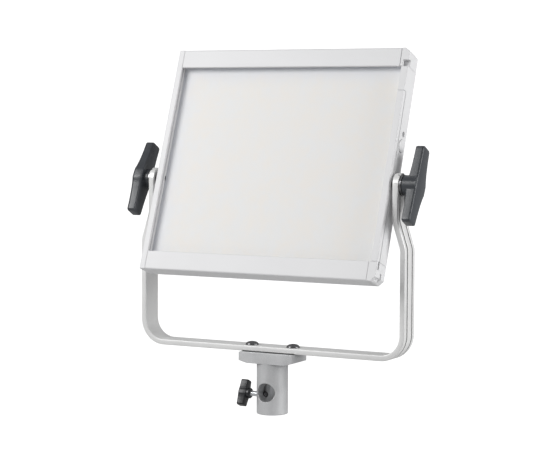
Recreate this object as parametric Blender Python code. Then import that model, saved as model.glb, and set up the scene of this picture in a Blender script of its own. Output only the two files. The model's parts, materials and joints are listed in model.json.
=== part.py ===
"""LED panel light: a square soft-light head tilting in a U-shaped yoke on a spigot socket.

Frame: origin at the centre of the socket's lower mouth, +Z up the socket, the light faces -Y,
+X to the right of someone who looks at the lit face. All sizes are in metres.
Head pieces are modelled upright around the tilt axis and hang on the empty `head_tilt`,
so in their own coordinates x is across, y is backwards and z is up the lit face.
"""
import math

import bmesh
import bpy
from mathutils import Matrix, Vector

for old_object in list(bpy.data.objects):
    bpy.data.objects.remove(old_object, do_unlink=True)

# ---------------------------------------------------------------- driving dimensions
gap = 0.0003                     # between pieces that touch
slip = 0.0003                    # radial clearance round shafts and pins

# head, across the lit face
head_width = 0.305
head_above_axis = 0.1602         # tilt axis to the top face
head_below_axis = 0.1145         # tilt axis to the bottom face
head_tilt_back = math.radians(19.8)
frame_front = 0.0125             # tilt axis to the front face of the rails
frame_back = 0.0120              # tilt axis to the back face of the rails
rail_height = 0.0224             # top and bottom rails
rail_lip = 0.0028                # front lip in front of the accessory groove
rail_wall = 0.0020
rail_edge_radius = 0.0016
left_rail_width = 0.0072
right_rail_width = 0.0082
cap_length = 0.0104              # end caps on the right
cap_chamfer = 0.0055
groove_width = 0.0032            # accessory groove, front to back
groove_depth_rail = 0.0086
groove_depth_left = 0.0030
diffuser_recess = 0.0090         # front face to the diffuser
diffuser_thickness = 0.0020

# right-hand gate that closes the accessory groove
gate_width = 0.0083
gate_plate = 0.0023
gate_leg = 0.0030
gate_top_lug = 0.0290            # height of the fixed lug above the gate
gate_pin_radius = 0.00085
gate_pin_length = 0.0080

# side button and accessory hole in the right rail
side_button_height = 0.0468
side_button_set_back = 0.0030
side_button_radius = 0.0074
side_button_travel = 0.0015
side_hole_height = 0.0609
side_hole_radius = 0.0032
side_hole_depth = 0.0060

# optics and electronics
chamber_wall = 0.0015
chamber_depth = 0.0290
chamber_taper = 0.0120
board_thickness = 0.0016
emitter_columns = 8
emitter_rows = 6
emitter_side = 0.0055
emitter_height = 0.0010
sink_base = 0.0045
fin_clearance = 0.0043           # fins to the housing's inner face
sink_fin_thickness = 0.0018
sink_fin_count = 20
supply_width = 0.1600
supply_height = 0.0520
supply_clearance = 0.0067        # power supply to the control board

# rear housing
housing_depth = 0.0540
housing_inset_side = 0.0300      # how far the sides lean in towards the back
housing_inset_top = 0.0240
housing_inset_bottom = 0.0230
housing_wall = 0.0025
housing_corner = 0.0120
housing_step = 0.0035            # rails' outer faces to the housing's front rim
vent_width = 0.0060
vent_pitch = 0.0120
vent_side_margin = 0.0170        # housing's flat back to the vents
vent_top_margin = 0.0157
vent_panel_margin = 0.0350
rear_screw_head = 0.0040
rear_screw_shank = 0.0017
rear_screw_inset = 0.0090

# control panel on the back
panel_height = 0.0700
panel_side_margin = 0.0190       # housing's flat back to the panel
panel_bottom_margin = 0.0100
panel_edge = 0.0080              # panel's ends to the first and last fitting of a row
panel_thickness = 0.0022
display_width = 0.0520
display_height = 0.0280
knob_radius = 0.0095
knob_height = 0.0130
knob_shaft_radius = 0.0030
knob_count = 3
button_radius = 0.0042
button_proud = 0.0018
button_travel = 0.0012
button_count = 4
upper_row = 0.0140               # above and below the panel's middle
lower_row = -0.0190
rocker_width = 0.0130
rocker_height = 0.0210
inlet_radius = 0.0130
data_radius = 0.0100
connector_flange = 0.0025        # flange's reach past the connector's body
board_set_back = 0.0090          # panel to the control board

# yoke
arm_clearance = 0.00365          # head's sides to the upper arms
swing_clearance = 0.0309         # the head's far edge to the bar, as it swings through
strap_thickness = 0.0065
strap_width = 0.0273
strap_groove_width = 0.0024
strap_groove_depth = 0.0025
strap_groove_offset = 0.0066     # strap's middle to each groove's middle
yoke_corner = 0.0300
yoke_jog = 0.0100                # upper arms stand in by this much
jog_low = 0.0716                 # below the tilt axis
jog_high = 0.0396
jog_bend = 0.0200
socket_offset = 0.0020           # strap's middle stands behind the socket's axis

# tilt locks
stud_radius = 0.0040
friction_disc_radius = 0.0085
outer_washer_radius = 0.0120
outer_washer_thickness = 0.0024
handle_length = 0.0920
handle_end_width = 0.0175
handle_belly = 0.0080            # the hub's belly past the wings' straight sides, on one side
handle_wing_thickness = 0.0105
handle_reach = 0.0180            # hub's inner face to the wings' outer face
handle_hub_radius = 0.0116
handle_face_plate = 0.0008       # wings' outer face past the hub's end
handle_lean_left = math.radians(29)
handle_lean_right = math.radians(26)

# socket
socket_height = 0.0725           # lower mouth to the bar's underside
socket_radius = 0.01835
spigot_bore_radius = 0.0082
spigot_bore_depth = 0.0560
cross_hole_radius = 0.0112
cross_hole_height = 0.0263
plate_length = 0.0700
plate_width = 0.0290
plate_end_thickness = 0.0098
plate_mid_thickness = 0.0126
gusset_drop = 0.0155             # bar's underside to the front facet's tip
bar_screw_spacing = 0.0540
bar_screw_shank = 0.0030
bar_screw_head_radius = 0.0078
bar_screw_head_height = 0.0042

# clamp screw in the socket
clamp_height = 0.0212
clamp_bolt_radius = 0.0032
clamp_pad_radius = 0.0030
clamp_pad_length = 0.0040
clamp_bolt_showing = 0.0100      # between the socket and the knob
clamp_knob_length = 0.0310
clamp_knob_width = 0.0100
clamp_knob_belly = 0.0018
clamp_knob_wing = 0.0088
clamp_knob_reach = 0.0138
clamp_knob_hub_radius = 0.0062
clamp_knob_face_plate = 0.0060
clamp_knob_lean = math.radians(24)

# ---------------------------------------------------------------- derived places
half_head = head_width / 2
arm_inner = half_head + arm_clearance
arm_outer = arm_inner + strap_thickness
half_yoke = arm_outer + yoke_jog
axis_above_bar = head_above_axis + swing_clearance + strap_thickness
tilt_axis = Vector((0, socket_offset, socket_height + axis_above_bar))
diffuser_front = diffuser_recess - frame_front
groove_front = rail_lip - frame_front
groove_back = groove_front + groove_width
inside_top = head_above_axis - rail_height
inside_bottom = rail_height - head_below_axis
ledge = 0.0025                   # rails' rear parts stand back from the lips by this much
housing_back = frame_back + gap + housing_depth
flat_low = Vector((-half_head + housing_step + housing_inset_side, 0,
                   -head_below_axis + housing_step + housing_inset_bottom))
flat_high = Vector((-flat_low.x, 0, head_above_axis - housing_step - housing_inset_top))
panel_width = flat_high.x - flat_low.x - 2 * panel_side_margin
panel_middle = flat_low.z + panel_bottom_margin + panel_height / 2
panel_front = housing_back - panel_thickness
high_row, low_row = panel_middle + upper_row, panel_middle + lower_row
vent_low = panel_middle + panel_height / 2 + vent_panel_margin
vent_high = flat_high.z - vent_top_margin
vent_count = int((flat_high.x - flat_low.x - 2 * vent_side_margin) / vent_pitch + 0.001)
board_face = panel_front - board_set_back


def spread(widths):
    """Middles of a row of fittings with equal spaces between them."""
    space = (panel_width - 2 * panel_edge - sum(widths)) / (len(widths) - 1)
    middles, edge = [], -panel_width / 2 + panel_edge
    for width in widths:
        middles.append(edge + width / 2)
        edge += width + space
    return middles


display_across, *knob_across = spread([display_width] + [2 * knob_radius] * knob_count)
lower_fittings = ([2 * button_radius] * button_count + [2 * (data_radius + connector_flange)] * 2
                  + [2 * (inlet_radius + connector_flange), rocker_width])
*button_across, data_in_across, data_out_across, inlet_across, rocker_across = spread(lower_fittings)


# ---------------------------------------------------------------- tools
def finish(name, colour, roughness, metallic):
    """Return a Principled material."""
    material = bpy.data.materials.new(name)
    material.use_nodes = True
    shader = material.node_tree.nodes["Principled BSDF"]
    shader.inputs["Base Color"].default_value = (*colour, 1)
    shader.inputs["Roughness"].default_value = roughness
    shader.inputs["Metallic"].default_value = metallic
    return material


def add(name, shape, material, parent=None, at=(0, 0, 0), smooth=35, guide=False):
    """Turn a bmesh into a named object; a guide is a cutter that is no piece of its own."""
    bmesh.ops.recalc_face_normals(shape, faces=shape.faces)
    mesh = bpy.data.meshes.new(name)
    shape.to_mesh(mesh)
    shape.free()
    piece = bpy.data.objects.new(name, mesh)
    bpy.context.scene.collection.objects.link(piece)
    piece.parent = parent
    piece.location = at
    if material is not None:
        mesh.materials.append(material)
    if smooth:
        mesh.shade_smooth()
        mesh.set_sharp_from_angle(angle=math.radians(smooth))
    if guide:
        piece.hide_render = True
        piece.display_type = 'WIRE'
    return piece


def cut(piece, shape, union=False):
    """Take a shape away from a piece, or join it on."""
    guide = add(piece.name + "_cutter", shape, None, piece.parent, piece.location, 0, True)
    modifier = piece.modifiers.new("cut", 'BOOLEAN')
    modifier.operation = 'UNION' if union else 'DIFFERENCE'
    modifier.object = guide
    modifier.solver = 'EXACT'
    return piece


def bevel(piece, width, segments=2, angle=40):
    """Round a piece's sharp edges."""
    modifier = piece.modifiers.new("edges", 'BEVEL')
    modifier.width = width
    modifier.segments = segments
    modifier.limit_method = 'ANGLE'
    modifier.angle_limit = math.radians(angle)
    modifier.harden_normals = False
    return piece


def merged(*shapes):
    """Put separate bmeshes into one."""
    whole = bmesh.new()
    for shape in shapes:
        mesh = bpy.data.meshes.new("part")
        shape.to_mesh(mesh)
        shape.free()
        whole.from_mesh(mesh)
        bpy.data.meshes.remove(mesh)
    return whole


def block(low, high):
    """A box between two corners."""
    shape = bmesh.new()
    bmesh.ops.create_cube(shape, size=1)
    size = Vector(high) - Vector(low)
    middle = (Vector(high) + Vector(low)) / 2
    for vertex in shape.verts:
        vertex.co = Vector(c * s for c, s in zip(vertex.co, size)) + middle
    return shape


def loft(rings):
    """A closed solid through rings with the same number of points."""
    shape = bmesh.new()
    loops = [[shape.verts.new(point) for point in ring] for ring in rings]
    count = len(loops[0])
    for first, second in zip(loops, loops[1:]):
        for i in range(count):
            j = (i + 1) % count
            shape.faces.new((first[i], first[j], second[j], second[i]))
    shape.faces.new(loops[0][::-1])
    shape.faces.new(loops[-1])
    return shape


def place(axis, u, v, along):
    """A point from two cross coordinates and one along an axis."""
    if axis == 'X':
        return Vector((along, u, v))
    if axis == 'Y':
        return Vector((u, along, v))
    return Vector((u, v, along))


def prism(outline, axis, start, end):
    """An outline in the two cross axes, extruded along the third."""
    return loft([[place(axis, u, v, along) for u, v in outline] for along in (start, end)])


def arc(centre, radius, start, end, steps):
    """Points on an arc, angles in degrees."""
    return [(centre[0] + radius * math.cos(math.radians(start + (end - start) * i / steps)),
             centre[1] + radius * math.sin(math.radians(start + (end - start) * i / steps)))
            for i in range(steps + 1)]


def rounded(low, high, radius, steps=3):
    """A rectangle outline with round corners."""
    (u0, v0), (u1, v1) = low, high
    corners = (((u1 - radius, v1 - radius), 0), ((u0 + radius, v1 - radius), 90),
               ((u0 + radius, v0 + radius), 180), ((u1 - radius, v0 + radius), 270))
    return [point for centre, angle in corners for point in arc(centre, radius, angle, angle + 90, steps)]


def turned(axis, centre, stations, sides=32):
    """A turned solid; stations are (distance along the axis, radius)."""
    rings = []
    for along, radius in stations:
        rings.append([place(axis, centre[0] + radius * math.cos(math.tau * i / sides),
                            centre[1] + radius * math.sin(math.tau * i / sides), along)
                      for i in range(sides)])
    return loft(rings)


def rod(axis, centre, radius, start, end, sides=32):
    """A plain cylinder."""
    return turned(axis, centre, ((start, radius), (end, radius)), sides)


def ring(axis, centre, outer, inner, start, end, sides=32):
    """A flat ring with its bore open."""
    shape = bmesh.new()
    loops = []
    for along, radius in ((start, outer), (end, outer), (end, inner), (start, inner)):
        loops.append([shape.verts.new(place(axis, centre[0] + radius * math.cos(math.tau * i / sides),
                                            centre[1] + radius * math.sin(math.tau * i / sides), along))
                      for i in range(sides)])
    for k in range(4):
        first, second = loops[k], loops[(k + 1) % 4]
        for i in range(sides):
            j = (i + 1) % sides
            shape.faces.new((first[i], first[j], second[j], second[i]))
    return shape


def filleted(points, radii, steps):
    """A path through points with its corners rounded; one radius and step count for each corner."""
    path = [Vector(points[0])]
    for before, corner, after, radius, count in zip(points, points[1:], points[2:], radii, steps):
        before, corner, after = Vector(before), Vector(corner), Vector(after)
        to_before = (before - corner).normalized()
        to_after = (after - corner).normalized()
        half = to_before.angle(to_after) / 2
        reach = radius / math.tan(half)
        centre = corner + (to_before + to_after).normalized() * radius / math.sin(half)
        first = corner + to_before * reach - centre
        last = corner + to_after * reach - centre
        for i in range(count + 1):
            path.append(centre + first.slerp(last, i / count) * radius)
    path.append(Vector(points[-1]))
    return path


# ---------------------------------------------------------------- finishes
white_paint = finish("white_paint", (0.80, 0.81, 0.83), 0.42, 0.0)
opal = finish("opal_acrylic", (0.88, 0.87, 0.85), 0.35, 0.0)
anodised = finish("anodised_aluminium", (0.62, 0.63, 0.64), 0.38, 0.9)
cast = finish("cast_aluminium", (0.60, 0.61, 0.63), 0.48, 0.85)
dark_plastic = finish("dark_grey_plastic", (0.060, 0.066, 0.075), 0.45, 0.0)
black_plastic = finish("black_plastic", (0.015, 0.016, 0.018), 0.35, 0.0)
black_steel = finish("black_oxide_steel", (0.05, 0.05, 0.055), 0.35, 0.9)
bright_steel = finish("bright_steel", (0.72, 0.73, 0.75), 0.22, 1.0)
dark_fibre = finish("friction_fibre", (0.03, 0.03, 0.032), 0.8, 0.0)
board_green = finish("board_laminate", (0.75, 0.76, 0.74), 0.6, 0.0)
glass_black = finish("display_glass", (0.01, 0.012, 0.015), 0.08, 0.0)

# ---------------------------------------------------------------- yoke
bar_low = socket_height
bar_high = bar_low + strap_thickness
ear_radius = strap_width / 2


def strap_section():
    """Strap cross-section as (outward, backward) points, with two grooves outside."""
    half_t, half_w = strap_thickness / 2, strap_width / 2
    chamfer = 0.0007
    points = [(-half_t, -half_w + chamfer), (-half_t + chamfer, -half_w), (half_t - chamfer, -half_w),
              (half_t, -half_w + chamfer)]
    for middle in (-strap_groove_offset, strap_groove_offset):
        near, far = middle - strap_groove_width / 2, middle + strap_groove_width / 2
        points += [(half_t, near), (half_t - strap_groove_depth, near),
                   (half_t - strap_groove_depth, far), (half_t, far)]
    points += [(half_t, half_w - chamfer), (half_t - chamfer, half_w), (-half_t + chamfer, half_w),
               (-half_t, half_w - chamfer)]
    return points


def yoke_strap():
    """One bent strap: ear, jog, arm, corner, bar and back up."""
    low_x, high_x = half_yoke - strap_thickness / 2, arm_outer - strap_thickness / 2
    bar_z = bar_low + strap_thickness / 2
    side = [(high_x, tilt_axis.z + ear_radius), (high_x, tilt_axis.z - jog_high),
            (low_x, tilt_axis.z - jog_low), (low_x, bar_z)]
    points = [(-x, z) for x, z in side] + side[::-1]
    bend = yoke_corner - strap_thickness / 2
    path = filleted(points, (jog_bend, jog_bend, bend, bend, jog_bend, jog_bend), (3, 3, 6, 6, 3, 3))
    rings = []
    for i, point in enumerate(path):
        along = path[min(i + 1, len(path) - 1)] - path[max(i - 1, 0)]
        outward = Vector((along.y, -along.x)).normalized()
        if 0 < i < len(path) - 1:
            turn = (path[i + 1] - point).angle(point - path[i - 1])
            outward /= math.cos(turn / 2)
        rings.append([Vector((point.x + outward.x * o, tilt_axis.y + b, point.y + outward.y * o))
                      for o, b in strap_section()])
    strap = add("yoke_strap", loft(rings), anodised)
    ear = (tilt_axis.y, tilt_axis.z)
    over = 0.002
    for sign in (-1, 1):
        round_end = [(ear[0] + sign * u, ear[1] + v) for u, v in arc((0, 0), ear_radius, 0, 90, 8)]
        corner = [(ear[0], ear[1] + ear_radius + over),
                  (ear[0] + sign * (ear_radius + over), ear[1] + ear_radius + over),
                  (ear[0] + sign * (ear_radius + over), ear[1])]
        cut(strap, prism(round_end + corner, 'X', -half_yoke, half_yoke))
    cut(strap, rod('X', ear, stud_radius + slip, -half_yoke, half_yoke, 24))
    holes = [rod('Z', (sign * bar_screw_spacing / 2, 0), bar_screw_shank + slip,
                 bar_low - over, bar_high + over, 20) for sign in (-1, 1)]
    cut(strap, merged(*holes))
    return strap


def socket_casting():
    """Plate and tube in one casting, bored for a spigot."""
    half_l, half_w = plate_length / 2, plate_width / 2
    top = socket_height - gap
    ramp = socket_radius + 0.006
    outline = [(-half_l, top), (-half_l, socket_height - plate_end_thickness),
               (-half_l + 0.004, socket_height - plate_end_thickness - 0.0012),
               (-ramp, socket_height - plate_mid_thickness), (ramp, socket_height - plate_mid_thickness),
               (half_l - 0.004, socket_height - plate_end_thickness - 0.0012),
               (half_l, socket_height - plate_end_thickness), (half_l, top)]
    casting = add("socket_casting", prism(outline, 'Y', -half_w, half_w), cast)
    rim = 0.0012
    tube = turned('Z', (0, 0), ((0, socket_radius - rim), (rim, socket_radius),
                                (top - 0.0002, socket_radius)), 40)
    cut(casting, tube, union=True)
    tip = socket_height - gusset_drop
    shoulder = socket_height - 0.0036
    over = 0.004
    for sign in (-1, 1):
        wedge = [(sign * half_w, top + over), (sign * half_w, shoulder), (sign * socket_radius, tip),
                 (sign * (socket_radius + over), tip), (sign * (socket_radius + over), top + over)]
        cut(casting, prism(wedge, 'X', -socket_radius - over, socket_radius + over))
    cut(casting, turned('Z', (0, 0), ((-over, spigot_bore_radius + 0.0010 + over),
                                      (0.0010, spigot_bore_radius),
                                      (spigot_bore_depth, spigot_bore_radius)), 32))
    cut(casting, rod('Y', (0, cross_hole_height), cross_hole_radius, -socket_radius - over, 0.0010, 32))
    cut(casting, rod('X', (0, clamp_height), clamp_bolt_radius + slip, -socket_radius - over, 0, 24))
    holes = [rod('Z', (sign * bar_screw_spacing / 2, 0), bar_screw_shank + slip,
                 socket_height - plate_mid_thickness - over, top + over, 20) for sign in (-1, 1)]
    cut(casting, merged(*holes))
    return casting


def bar_screw(name, x):
    """Button-head screw down through the bar into the casting."""
    seat = bar_high + gap
    radius, height = bar_screw_head_radius, bar_screw_head_height
    dome = [(seat + height * math.sin(a), radius * math.cos(a)) for a in
            (0, math.radians(22), math.radians(45), math.radians(68))]
    stations = [(socket_height - plate_end_thickness, bar_screw_shank - 0.0005),
                (socket_height - plate_end_thickness + 0.0005, bar_screw_shank),
                (seat, bar_screw_shank)] + dome
    screw = add(name, turned('Z', (x, 0), stations, 28), black_steel)
    key = [(x + 0.0023 * math.cos(math.tau * i / 6), 0.0023 * math.sin(math.tau * i / 6)) for i in range(6)]
    return cut(screw, prism(key, 'Z', seat + height * 0.35, seat + height + 0.002))


yoke_strap()
socket_casting()
for side, sign in (("left", -1), ("right", 1)):
    bar_screw("socket_screw_" + side, sign * bar_screw_spacing / 2)


# ---------------------------------------------------------------- winged handles
def seat_depth(reach, wing):
    """How far a screw's end sits in a winged handle's hub."""
    return (reach - wing) * 1.15


def winged_handle(name, material, parent, at, lean, outward, sizes):
    """A two-winged handle on a round hub, on an X axis; outward is -1 or 1."""
    length, end_width, bellies, wing, reach, hub_radius, face_plate, bore = sizes
    half = length / 2
    inner_end = reach - wing
    # along the wing, share of the belly there, and how far the inner face flares to the hub
    right_half = ((0.12, 0.98, 0.24), (0.24, 0.70, 0.16), (0.42, 0.42, 0.07), (0.68, 0.16, 0.02),
                  (0.955, 0.0, 0.0), (1.0, -0.26, 0.0))
    stations = [(-along, share, flare) for along, share, flare in right_half[::-1]] + list(right_half)
    edge = end_width * 0.055
    rings = []
    for along, share, flare in stations:
        ahead, behind = (end_width / 2 + (belly if share > 0 else end_width / 2) * share for belly in bellies)
        low = inner_end * (1 - flare)
        outline = [(low, behind - edge), (low, edge - ahead), (low + edge, -ahead), (reach - edge, -ahead),
                   (reach, edge - ahead), (reach, behind - edge), (reach - edge, behind), (low + edge, behind)]
        z = along * half
        rings.append([Vector((outward * x, outward * y * math.cos(lean) + z * math.sin(lean),
                              -outward * y * math.sin(lean) + z * math.cos(lean))) for x, y in outline])
    handle = add(name, loft(rings), material, parent, at)
    hub = turned('X', (0, 0), ((0, hub_radius - 0.0008), (outward * 0.0008, hub_radius),
                               (outward * (reach - face_plate), hub_radius)), 32)
    cut(handle, hub, union=True)
    cut(handle, rod('X', (0, 0), bore, -outward * 0.001, outward * (seat_depth(reach, wing) + gap), 24))
    return handle


# ---------------------------------------------------------------- socket clamp
clamp_tip = -spigot_bore_radius
knob_face = -socket_radius - clamp_bolt_showing
clamp_axis = (0, clamp_height)
add("clamp_pad", turned('X', clamp_axis, ((clamp_tip, clamp_pad_radius),
                                          (clamp_tip - clamp_pad_length, clamp_pad_radius)), 24), black_steel)
bolt_end = knob_face - seat_depth(clamp_knob_reach, clamp_knob_wing)
add("clamp_bolt", turned('X', clamp_axis, ((clamp_tip - clamp_pad_length - gap, clamp_bolt_radius - 0.0006),
                                           (clamp_tip - clamp_pad_length - gap - 0.0006, clamp_bolt_radius),
                                           (bolt_end, clamp_bolt_radius)), 24), bright_steel)
clamp_turn = bpy.data.objects.new("clamp_turn", None)
bpy.context.scene.collection.objects.link(clamp_turn)
clamp_turn.location = (knob_face, 0, clamp_height)
winged_handle("clamp_knob", black_plastic, clamp_turn, (0, 0, 0), clamp_knob_lean, -1,
              (clamp_knob_length, clamp_knob_width, (clamp_knob_belly, clamp_knob_belly), clamp_knob_wing,
               clamp_knob_reach, clamp_knob_hub_radius, clamp_knob_face_plate, clamp_bolt_radius + slip))

# ---------------------------------------------------------------- head
head = bpy.data.objects.new("head_tilt", None)
bpy.context.scene.collection.objects.link(head)
head.location = tilt_axis
head.rotation_euler = (-head_tilt_back, 0, 0)

rail_left_end = -half_head + left_rail_width + gap
rail_right_end = half_head - cap_length - gap


def rail_outline(outer, inner, sign):
    """Top or bottom rail in (back, up): lip, groove, and a rear part that stands back."""
    radius = rail_edge_radius
    deep = inner + sign * groove_depth_rail
    back = inner + sign * ledge
    outline = [(-frame_front, inner + sign * 0.0005), (-frame_front + 0.0005, inner),
               (groove_front, inner), (groove_front, deep), (groove_back, deep), (groove_back, back),
               (frame_back, back), (frame_back, outer)]
    turn = arc((-frame_front + radius, outer - sign * radius), radius, 90 * sign, 180 * sign, 3)
    return outline + turn


def head_rails():
    """Four rails and two end caps round the lit face."""
    spans = (("top_rail", head_above_axis, inside_top, 1), ("bottom_rail", -head_below_axis, inside_bottom, -1))
    for name, outer, inner, sign in spans:
        rail = add(name, prism(rail_outline(outer, inner, sign), 'X', rail_left_end, rail_right_end),
                   white_paint, head)
        core = sorted((inner + sign * (groove_depth_rail + rail_wall), outer - sign * rail_wall))
        cut(rail, block((rail_left_end - 0.01, groove_front, core[0]),
                        (rail_right_end + 0.01, frame_back - rail_wall, core[1])))
    left = add("left_rail", block((-half_head, -frame_front, -head_below_axis),
                                  (-half_head + left_rail_width, frame_back, head_above_axis)),
               white_paint, head)
    cut(left, block((-half_head + left_rail_width - groove_depth_left, groove_front,
                     inside_bottom - groove_depth_rail),
                    (-half_head + left_rail_width + 0.002, groove_back, inside_top + groove_depth_rail)))
    cut(left, rod('X', (0, 0), stud_radius + slip, -half_head - 0.002, -half_head + left_rail_width + 0.002, 24))
    bevel(left, 0.0008, 1)
    right_rail()
    end_cap("cap_top_right", head_above_axis, inside_top, 1)
    end_cap("cap_bottom_right", -head_below_axis, inside_bottom, -1)


lug_bottom = inside_top - gate_top_lug
pin_x = half_head - gate_leg / 2 - 0.0002
pin_y = -frame_front + 0.0002 + 0.0019


def right_rail():
    """Rear post on the right, with the lug that carries the gate's upper pin."""
    low_x = half_head - right_rail_width
    outline = [(groove_back, inside_bottom + gap), (groove_back, lug_bottom),
               (-frame_front, lug_bottom), (-frame_front, inside_top - gap),
               (frame_back, inside_top - gap), (frame_back, inside_bottom + gap)]
    rail = add("right_rail", prism(outline, 'X', low_x, half_head), white_paint, head)
    cut(rail, rod('X', (0, 0), stud_radius + slip, low_x - 0.002, half_head + 0.002, 24))
    cut(rail, rod('X', (side_button_set_back, side_button_height), side_button_radius + slip,
                  half_head - 0.0050, half_head + 0.002, 28))
    cut(rail, rod('X', (side_button_set_back + 0.0004, side_hole_height), side_hole_radius,
                  half_head - side_hole_depth, half_head + 0.002, 20))
    cut(rail, rod('Z', (pin_x, pin_y), gate_pin_radius + slip, lug_bottom - 0.002,
                  lug_bottom + gate_pin_length / 2 + 0.0006, 16))
    return rail


def end_cap(name, outer, inner, sign):
    """End cap on a rail: chamfered outer corner, groove left open."""
    low_x = rail_right_end + gap
    outline = [(low_x, inner), (half_head, inner), (half_head, outer - sign * cap_chamfer),
               (half_head - cap_chamfer, outer), (low_x, outer)]
    cap = add(name, prism(outline, 'Y', -frame_front, frame_back), white_paint, head)
    groove = sorted((inner - sign * 0.002, inner + sign * groove_depth_rail))
    cut(cap, block((low_x - 0.002, groove_front, groove[0]), (half_head + 0.002, groove_back, groove[1])))
    step = sorted((inner - sign * 0.002, inner + sign * ledge))
    cut(cap, block((low_x - 0.002, groove_back - 0.0002, step[0]),
                   (half_head - right_rail_width, frame_back + 0.002, step[1])))
    if sign > 0:
        notch_x = half_head - 0.0068
        cut(cap, block((notch_x, -frame_front - 0.002, inner - 0.002),
                       (half_head + 0.002, groove_front + 0.001, inner + groove_depth_rail - 0.0012)))
    else:
        cut(cap, rod('Z', (pin_x, pin_y), gate_pin_radius + slip, inner - gate_pin_length / 2 - 0.0006,
                     inner + 0.002, 16))
        low = outer + 0.0022
        hook = [(-0.0080, low), (0.0024, low), (0.0024, low + 0.0092), (-0.0006, low + 0.0092),
                (-0.0006, low + 0.0030), (-0.0080, low + 0.0030)]
        cut(cap, prism(hook, 'X', half_head - 0.0040, half_head + 0.002))
    return bevel(cap, 0.0006, 1)


def slot_gate():
    """Hinged strip that keeps an accessory frame in the groove."""
    bottom, top = inside_bottom + gap, lug_bottom - gap
    outer_x = half_head - 0.0002
    front = -frame_front + 0.0002
    leg_back = groove_back - 0.0007
    outline = [(outer_x - gate_width, front + 0.0005), (outer_x - gate_width + 0.0005, front),
               (outer_x - 0.0008, front), (outer_x, front + 0.0008), (outer_x, leg_back),
               (outer_x - gate_leg, leg_back), (outer_x - gate_leg, front + gate_plate),
               (outer_x - gate_width, front + gate_plate)]
    origin = Vector((pin_x, pin_y, 0))
    shifted = [(x - origin.x, y - origin.y) for x, y in outline]
    gate = add("slot_gate", prism(shifted, 'Z', bottom, top), white_paint, head, origin)
    pin_reach = gate_pin_length / 2 + 0.0006
    holes = merged(rod('Z', (0, 0), gate_pin_radius + slip, bottom - 0.002, bottom + pin_reach, 16),
                   rod('Z', (0, 0), gate_pin_radius + slip, top - pin_reach, top + 0.002, 16))
    cut(gate, holes)
    for name, middle in (("gate_pin_top", (lug_bottom + top) / 2), ("gate_pin_bottom", inside_bottom)):
        add(name, rod('Z', (pin_x, pin_y), gate_pin_radius, middle - gate_pin_length / 2,
                      middle + gate_pin_length / 2, 16), bright_steel, head)
    return gate


def side_button():
    """Round push button in the right rail."""
    at = Vector((half_head, side_button_set_back, side_button_height))
    radius = side_button_radius
    stations = ((-0.0028, radius), (0.0010, radius), (0.0017, radius - 0.0008), (0.0020, radius - 0.0022))
    return add("side_button", turned('X', (0, 0), stations, 28), white_paint, head, at)


head_rails()
slot_gate()
side_button()

# diffuser, mixing chamber, light board
face_low = Vector((-half_head + left_rail_width + gap, 0, inside_bottom - ledge + gap))
face_high = Vector((half_head - right_rail_width - gap, 0, inside_top + ledge - gap))
diffuser_back = diffuser_front + diffuser_thickness
add("diffuser_panel", block((face_low.x, diffuser_front, face_low.z), (face_high.x, diffuser_back, face_high.z)),
    opal, head, smooth=0)


def mixing_chamber():
    """White funnel between the light board and the diffuser."""
    shape = bmesh.new()
    front, back = diffuser_back + gap, diffuser_back + gap + chamber_depth
    loops = []
    for y, inset in ((front, 0), (back, chamber_taper), (back, chamber_taper + chamber_wall), (front, chamber_wall)):
        outline = rounded((face_low.x + inset, face_low.z + inset), (face_high.x - inset, face_high.z - inset),
                          0.006, 2)
        loops.append([shape.verts.new((x, y, z)) for x, z in outline])
    for k in range(4):
        first, second = loops[k], loops[(k + 1) % 4]
        for i in range(len(first)):
            j = (i + 1) % len(first)
            shape.faces.new((first[i], first[j], second[j], second[i]))
    add("mixing_chamber", shape, white_paint, head)
    return back


def light_board(front):
    """Flat board with a grid of emitters standing on it."""
    low = (face_low.x + chamber_taper, front + emitter_height, face_low.z + chamber_taper)
    high = (face_high.x - chamber_taper, front + emitter_height + board_thickness, face_high.z - chamber_taper)
    shape = bmesh.new()
    xs, zs = [low[0]], [low[2]]
    for values, count, axis in ((xs, emitter_columns, 0), (zs, emitter_rows, 2)):
        pitch = (high[axis] - low[axis]) / count
        for i in range(count):
            middle = low[axis] + pitch * (i + 0.5)
            values += [middle - emitter_side / 2, middle + emitter_side / 2]
        values.append(high[axis])
    grid = [[shape.verts.new((x, low[1], z)) for z in zs] for x in xs]
    emitters = []
    for i in range(len(xs) - 1):
        for j in range(len(zs) - 1):
            face = shape.faces.new((grid[i][j], grid[i + 1][j], grid[i + 1][j + 1], grid[i][j + 1]))
            if i % 2 and j % 2:
                emitters.append(face)
    everything = bmesh.ops.extrude_face_region(shape, geom=list(shape.faces))
    moved = [item for item in everything["geom"] if isinstance(item, bmesh.types.BMVert)]
    bmesh.ops.translate(shape, verts=moved, vec=(0, board_thickness, 0))
    raised = bmesh.ops.extrude_discrete_faces(shape, faces=emitters)["faces"]
    bmesh.ops.translate(shape, verts=list({v for f in raised for v in f.verts}), vec=(0, -emitter_height + gap, 0))
    add("light_board", shape, board_green, head, smooth=0)
    return high[1]


chamber_back = mixing_chamber()
board_back = light_board(chamber_back + gap)


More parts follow.
